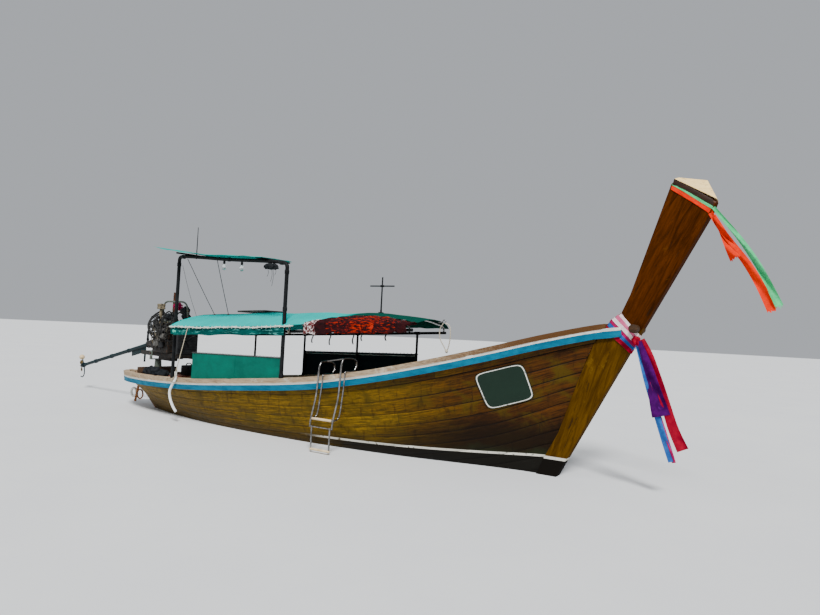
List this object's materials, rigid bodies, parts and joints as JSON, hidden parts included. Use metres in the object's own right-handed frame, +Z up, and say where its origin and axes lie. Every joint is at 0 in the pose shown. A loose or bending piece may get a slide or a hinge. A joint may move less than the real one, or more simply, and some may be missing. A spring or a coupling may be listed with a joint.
{
  "type": "longtail boat",
  "caption": "Wooden longtail boat with high raked prow, cloth canopy on pipe frame, side ladder and a swivelling engine driving a propeller on a long tail shaft.",
  "frame": {"origin": "on the waterline at the centre line, half way along the waterline", "axes": "+X towards the bow, +Y to port, +Z up"},
  "size_m": [14.5706, 2.126, 4.169],
  "materials": {
    "varnished_wood": "varnished planks",
    "dark_wood": "worn",
    "bottom_paint": "dark painted",
    "cap_wood": "weathered",
    "blue_paint": "painted blue with a white line",
    "pink_deck": "painted, worn",
    "black_pipe": "satin",
    "canopy_cloth": "coated cloth",
    "curtain_cloth": "coated cloth",
    "green_panel": "coated cloth",
    "black_panel": "coated cloth",
    "net": "rolled net",
    "solar_glass": "gloss",
    "tank_plastic": "matte",
    "steel": "satin",
    "cast_iron": "oily",
    "grey_green_paint": "satin",
    "cream": "matte",
    "rusty_steel": "rusty",
    "pink_cloth": "woven",
    "purple_cloth": "woven",
    "orange_cloth": "woven",
    "red_cloth": "foam-filled cloth",
    "white_hose": "matte",
    "bronze": "dark bronze"
  },
  "bodies": {
    "boat": {"hull_side_port": "varnished_wood", "hull_side_starboard": "varnished_wood", "stern_post": "varnished_wood", "stem_post": "dark_wood", "cross_log": "dark_wood", "bow_block": "dark_wood", "frames_aft": "dark_wood", "frames_middle": "dark_wood", "frames_fore": "dark_wood", "floor_boards": "dark_wood", "thwart_1": "dark_wood", "thwart_2": "dark_wood", "thwart_3": "dark_wood", "engine_beam": "dark_wood", "hull_bottom_port": "bottom_paint", "hull_bottom_starboard": "bottom_paint", "keel": "bottom_paint", "gunwale_cap_port": "cap_wood", "gunwale_cap_starboard": "cap_wood", "rub_rail_port": "blue_paint", "rub_rail_starboard": "blue_paint", "stern_deck": "pink_deck", "port_side_frame": "black_pipe", "starboard_rail": "black_pipe", "tall_leg_aft": "black_pipe", "tall_leg_fore": "black_pipe", "tall_top_bar": "black_pipe", "cross_mast": "black_pipe", "canopy_cloth": "canopy_cloth", "upper_awning": "canopy_cloth", "side_curtain": "curtain_cloth", "green_panel": "green_panel", "black_panel": "black_panel", "net_bundle": "net", "solar_panel": "solar_glass", "canopy_bows": "steel", "ladder": "steel", "stern_bracket": "rusty_steel", "sash_wrap": "pink_cloth", "sash_tails": "purple_cloth", "head_wrap": "orange_cloth", "head_tail": "orange_cloth", "stowed_jackets": "red_cloth", "side_hose": "white_hose"},
    "swivel": {"swivel_yoke": "grey_green_paint"},
    "engine_unit": {"engine_frame": "cast_iron", "engine_block": "cast_iron", "cylinder_head": "cast_iron", "gearbox": "cast_iron", "exhaust": "rusty_steel", "air_filter": "cream", "cooling_tank": "tank_plastic", "guard_loop": "grey_green_paint", "garland": "pink_cloth", "tiller": "black_pipe", "riser_pipe": "black_pipe", "tail_tube": "black_pipe", "tail_skeg": "cream"},
    "propeller": {"propeller": "bronze"},
    "ladder_step": {"ladder_step": "steel"}
  },
  "joints": [
    {"name": "tail_swing", "type": "hinge", "parent": "boat", "child": "swivel", "pos_m": [-4.15, 0, 0.95], "axis": [0, 0, 1], "range_deg": [-25, 45]},
    {"name": "tail_tilt", "type": "hinge", "parent": "swivel", "child": "engine_unit", "pos_m": [-4.15, 0, 1.08], "axis": [0.1685, 0.9857, 0], "range_deg": [-12, 8]},
    {"name": "propeller_spin", "type": "hinge", "parent": "engine_unit", "child": "propeller", "pos_m": [-7.9254, 0.6453, 0.5432], "axis": [-0.9659, 0.1651, -0.1994], "continuous": true},
    {"name": "ladder_fold", "type": "hinge", "parent": "boat", "child": "ladder_step", "pos_m": [1.0475, -1.12, 0.362], "axis": [-1, 0, 0], "range_deg": [0, 150]}
  ]
}
